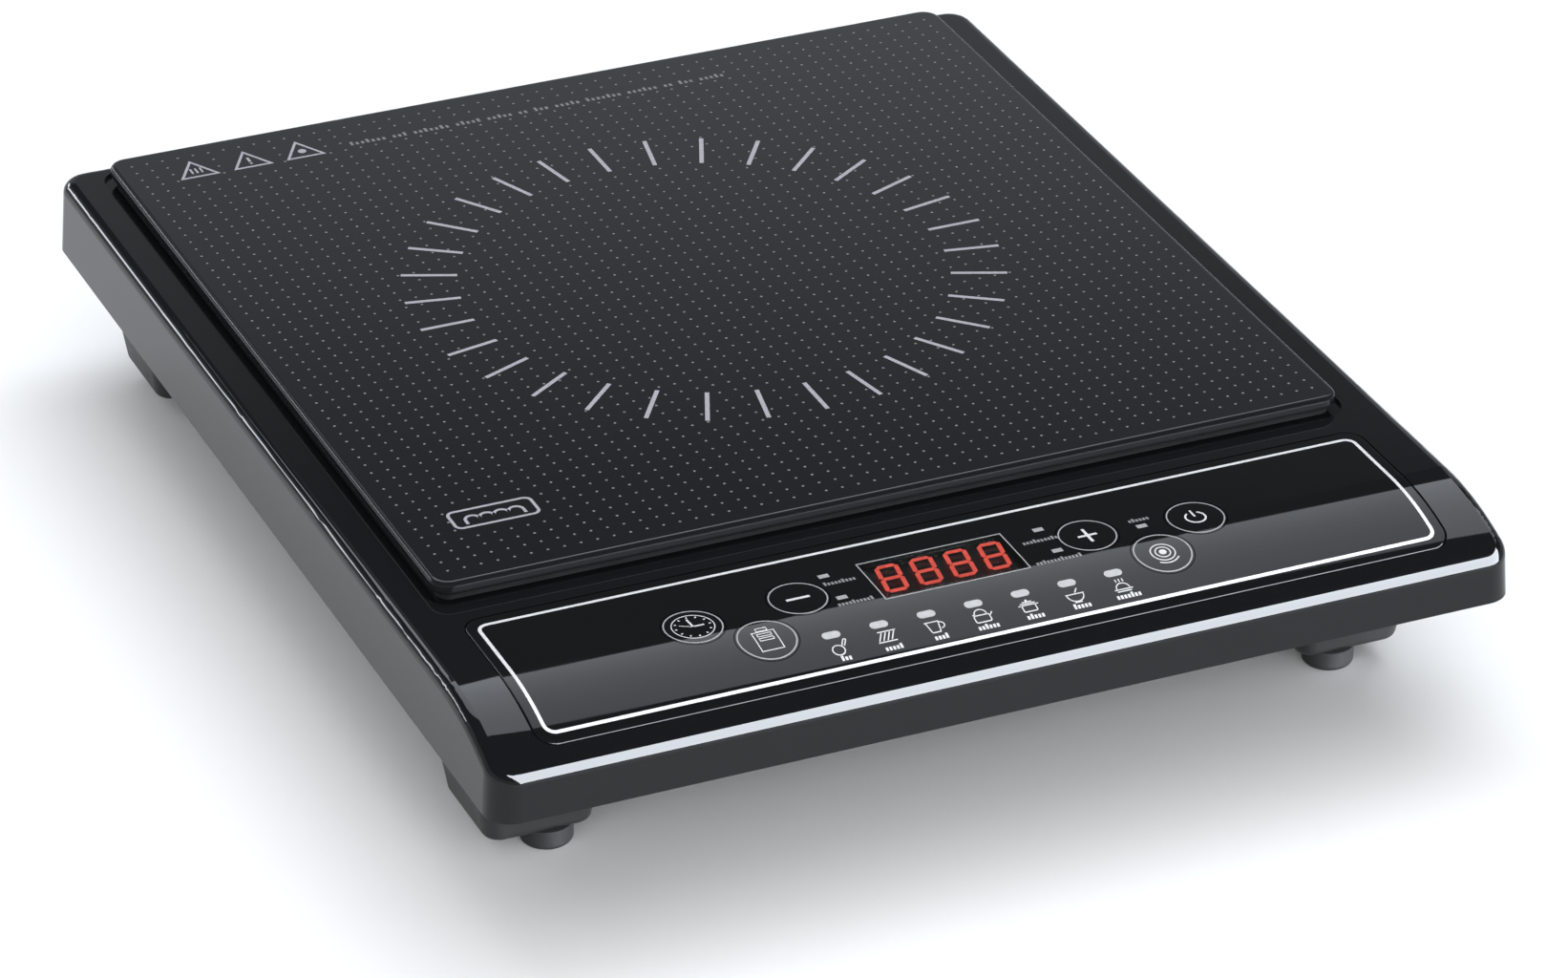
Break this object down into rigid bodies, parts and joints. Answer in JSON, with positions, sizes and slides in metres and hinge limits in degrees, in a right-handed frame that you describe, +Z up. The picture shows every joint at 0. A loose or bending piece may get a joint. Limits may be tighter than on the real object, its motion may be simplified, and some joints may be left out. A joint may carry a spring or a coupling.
{
  "type": "portable induction cooktop",
  "caption": "Flat portable induction cooktop: black housing with a square glass plate, a curved front key panel, sprung keys, rubber feet and a cooling fan.",
  "frame": {"origin": "on the standing surface, under the middle of the housing's outline", "axes": "+Z up, +Y towards the rear, -Y towards the control panel, +X to the right seen from the front"},
  "size_m": [0.3, 0.358, 0.0645],
  "materials": {
    "housing_gloss": "high-gloss black",
    "ceramic_glass": "satin black ceramic glass, opaque",
    "silicone": "matt silicone",
    "panel_film": "glossy black panel film",
    "smoked_window": "smoked clear window",
    "lens_white": "frosted white",
    "switch_plastic": "moulded",
    "circuit_board": "green solder mask on glass-epoxy",
    "screw_steel": "zinc plated",
    "display_block": "moulded",
    "lamp_resin": "tinted epoxy",
    "chip_resin": "moulded epoxy",
    "connector_nylon": "natural nylon",
    "ribbon_insulation": "grey vinyl",
    "case_matt": "fine matt texture",
    "foot_rubber": "matt rubber",
    "litz_copper": "stranded enamelled copper",
    "former_plastic": "heat-resistant moulded",
    "ferrite": "sintered, matt",
    "mica": "pressed mica sheet",
    "lead_insulation": "braided glass sleeve",
    "terminal_brass": "machined",
    "fan_plastic": "moulded",
    "motor_winding": "wound core",
    "shaft_steel": "ground",
    "sink_aluminium": "extruded, mill finish",
    "capacitor_box": "moulded box, potted",
    "choke_winding": "enamelled wire on a ring core",
    "can_sleeve": "sleeved can",
    "transformer_core": "laminated core",
    "fuse_glass": "clear tube, plated clips",
    "print_silver": "silver printed lines",
    "print_white": "white printed signs",
    "print_grey": "pale grey print on the glass",
    "digit_red": "lit red segments"
  },
  "bodies": {
    "base": {"bottom_case": "case_matt", "bridge_rectifier": "chip_resin", "buzzer": "switch_plastic", "case_closing_screws": "screw_steel", "choke": "choke_winding", "coil_former": "former_plastic", "coil_leads": "lead_insulation", "coil_screws": "screw_steel", "coil_terminals": "terminal_brass", "coil_winding": "litz_copper", "control_board": "circuit_board", "control_board_screws": "screw_steel", "control_chip": "chip_resin", "cord_gland": "foot_rubber", "display_module": "display_block", "display_window": "smoked_window", "electrolytic_capacitors": "can_sleeve", "fan_frame": "fan_plastic", "fan_motor": "motor_winding", "fan_screws": "screw_steel", "ferrite_bars": "ferrite", "filter_capacitor": "capacitor_box", "foot_front_left": "foot_rubber", "foot_front_right": "foot_rubber", "foot_rear_left": "foot_rubber", "foot_rear_right": "foot_rubber", "fuse": "fuse_glass", "glass_gasket": "silicone", "glass_plate": "ceramic_glass", "heat_sensor": "lamp_resin", "heat_sink": "sink_aluminium", "indicator_leds": "lamp_resin", "indicator_lenses": "lens_white", "mains_capacitor": "capacitor_box", "mica_disc": "mica", "panel_overlay": "panel_film", "power_board": "circuit_board", "power_board_screws": "screw_steel", "resonant_capacitor": "capacitor_box", "ribbon_cable": "ribbon_insulation", "ribbon_connectors": "connector_nylon", "sensor_holder": "silicone", "switch_bodies": "switch_plastic", "switching_transistor": "chip_resin", "transformer": "transformer_core", "upper_housing": "housing_gloss"},
    "key_timer": {"key_timer": "panel_film", "switch_button_timer": "switch_plastic"},
    "key_menu": {"key_menu": "panel_film", "switch_button_menu": "switch_plastic"},
    "key_minus": {"key_minus": "panel_film", "switch_button_minus": "switch_plastic"},
    "key_plus": {"key_plus": "panel_film", "switch_button_plus": "switch_plastic"},
    "key_heat": {"key_heat": "panel_film", "switch_button_heat": "switch_plastic"},
    "key_power": {"key_power": "panel_film", "switch_button_power": "switch_plastic"},
    "fan_rotor": {"fan_rotor": "fan_plastic", "fan_shaft": "shaft_steel"}
  },
  "joints": [
    {"name": "timer_press", "type": "slide", "parent": "base", "child": "key_timer", "axis": [0, 0, -1], "range_m": [0, 0.0005], "stiffness_N_per_m": 1500, "springref_m": -0.0004},
    {"name": "menu_press", "type": "slide", "parent": "base", "child": "key_menu", "axis": [0, 0, -1], "range_m": [0, 0.0005], "stiffness_N_per_m": 1500, "springref_m": -0.0004},
    {"name": "minus_press", "type": "slide", "parent": "base", "child": "key_minus", "axis": [0, 0, -1], "range_m": [0, 0.0005], "stiffness_N_per_m": 1500, "springref_m": -0.0004},
    {"name": "plus_press", "type": "slide", "parent": "base", "child": "key_plus", "axis": [0, 0, -1], "range_m": [0, 0.0005], "stiffness_N_per_m": 1500, "springref_m": -0.0004},
    {"name": "heat_press", "type": "slide", "parent": "base", "child": "key_heat", "axis": [0, 0, -1], "range_m": [0, 0.0005], "stiffness_N_per_m": 1500, "springref_m": -0.0004},
    {"name": "power_press", "type": "slide", "parent": "base", "child": "key_power", "axis": [0, 0, -1], "range_m": [0, 0.0005], "stiffness_N_per_m": 1500, "springref_m": -0.0004},
    {"name": "fan_spin", "type": "hinge", "parent": "base", "child": "fan_rotor", "pos_m": [0.07, 0.084, 0.033], "axis": [0, 0, 1], "continuous": true}
  ]
}
